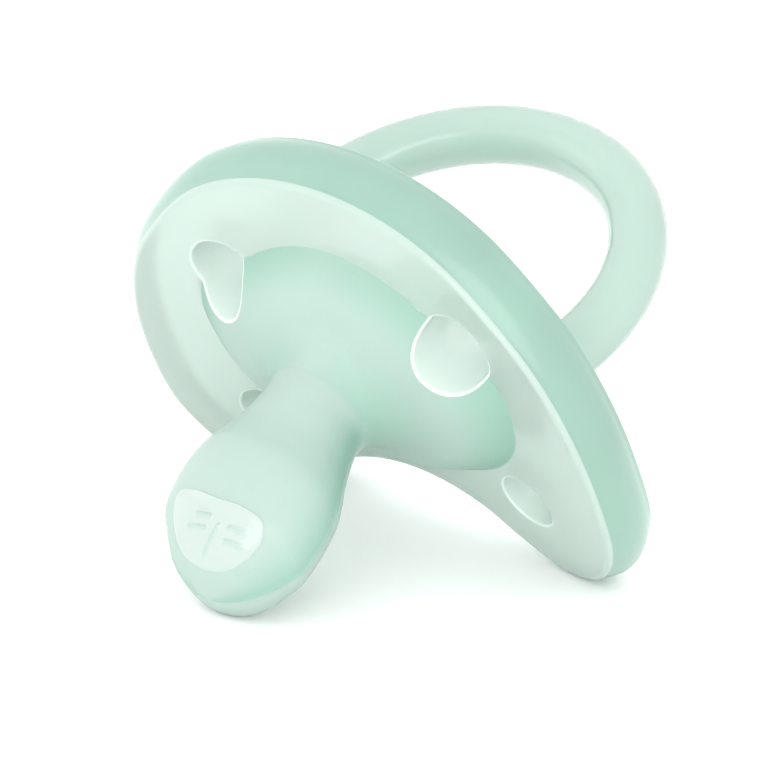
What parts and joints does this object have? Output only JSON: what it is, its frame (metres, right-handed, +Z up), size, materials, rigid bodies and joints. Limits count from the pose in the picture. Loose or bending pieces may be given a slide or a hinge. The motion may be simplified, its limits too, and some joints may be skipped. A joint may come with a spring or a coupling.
{
  "type": "baby pacifier",
  "caption": "One-piece soft silicone pacifier: lobed shield with vent holes, hollow nipple with a flattened bulb on a raised mound, and a round handle ring on the back.",
  "frame": {"origin": "under the middle of the resting object's bounding box, on the surface that it stands on", "axes": "+Z up with the object at rest on its nipple and its two lobes; X across the shield, which is mirror-symmetric about X = 0; the nipple points towards -Y and down, the handle ring towards +Y and up"},
  "size_m": [0.047, 0.0446, 0.0348],
  "materials": {
    "glossy_silicone": "translucent pale mint silicone, polished",
    "frosted_silicone": "translucent pale mint silicone, fine frosted grain",
    "smooth_silicone": "pale mint silicone, smooth relief pad"
  },
  "bodies": {
    "shield": {"shield_plate": "glossy_silicone", "nipple_base": "frosted_silicone", "nipple_neck": "frosted_silicone", "handle_root_right": "glossy_silicone", "handle_root_left": "glossy_silicone"},
    "nipple": {"nipple_bulb": "frosted_silicone", "tongue_patch": "smooth_silicone"},
    "handle": {"handle_ring": "glossy_silicone"}
  },
  "joints": [
    {"name": "handle_flex", "type": "hinge", "parent": "shield", "child": "handle", "pos_m": [0, 0.00181, 0.0191], "axis": [1, 0, 0], "range_deg": [-40, 40], "stiffness_Nm_per_rad": 0.013, "deforming": ["handle_root_right", "handle_root_left"]},
    {"name": "nipple_bend", "type": "hinge", "parent": "shield", "child": "nipple", "pos_m": [0, -0.01044, 0.01252], "axis": [1, 0, 0], "range_deg": [-20, 20], "stiffness_Nm_per_rad": 0.08, "deforming": ["nipple_neck"]}
  ]
}
